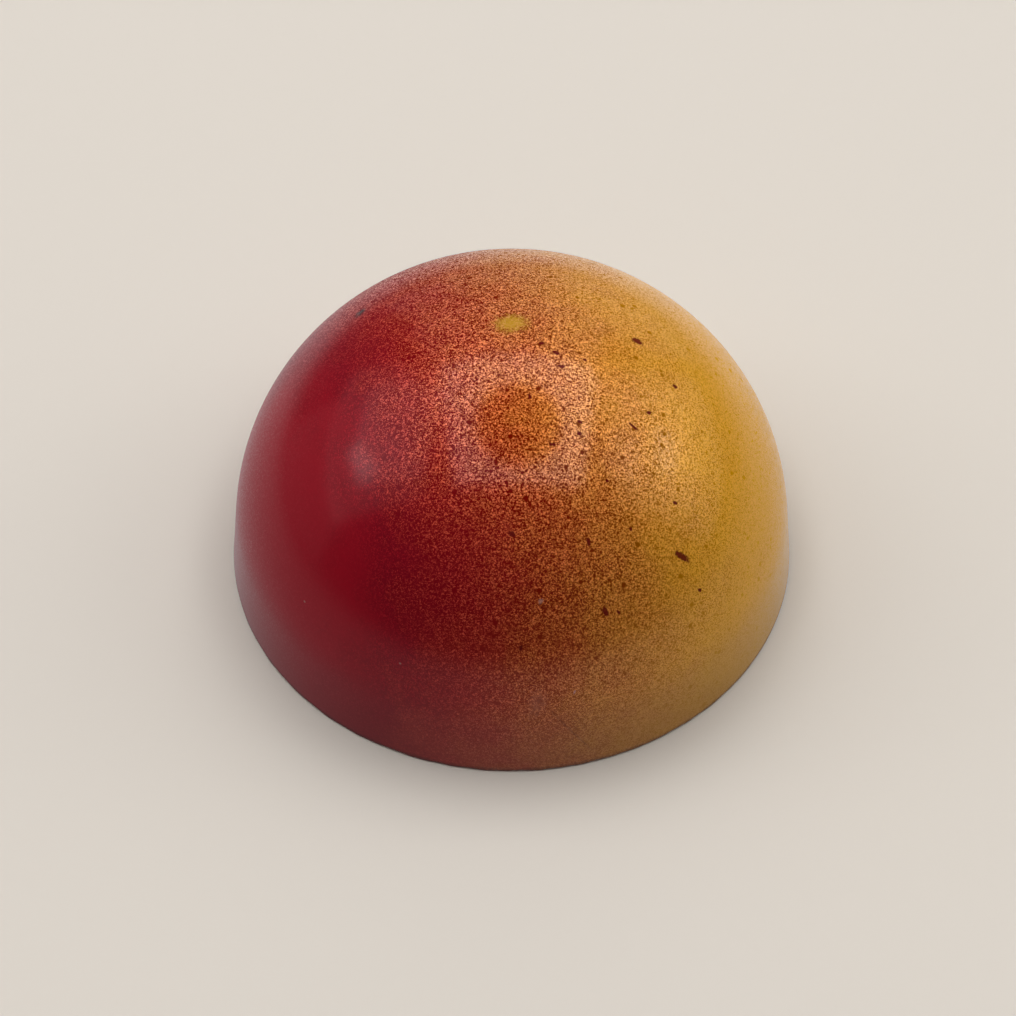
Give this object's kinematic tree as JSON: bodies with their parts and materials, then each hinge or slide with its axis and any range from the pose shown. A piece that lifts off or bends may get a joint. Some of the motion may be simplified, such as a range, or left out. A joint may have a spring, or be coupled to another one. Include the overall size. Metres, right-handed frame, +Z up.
{
  "type": "chocolate praline",
  "caption": "Round domed filled chocolate, sprayed ruby red on one side and speckled gold on the other, standing on a thin flat sole of dark chocolate.",
  "frame": {"origin": "middle of the flat underside, on the surface that the praline stands on", "axes": "+Z up through the top of the dome; -Y towards the front; -X is the ruby side and +X the gold side"},
  "size_m": [0.0291, 0.029, 0.0162],
  "materials": {
    "sprayed_colour": "sprayed cocoa butter over dark chocolate, satin to glossy: ruby red at -X, fine gold speckle in the middle, full gold at +X",
    "dark_chocolate": "tempered dark chocolate, scraped flat and satin"
  },
  "bodies": {
    "root": {"dome": "sprayed_colour", "sole": "dark_chocolate"}
  },
  "joints": []
}
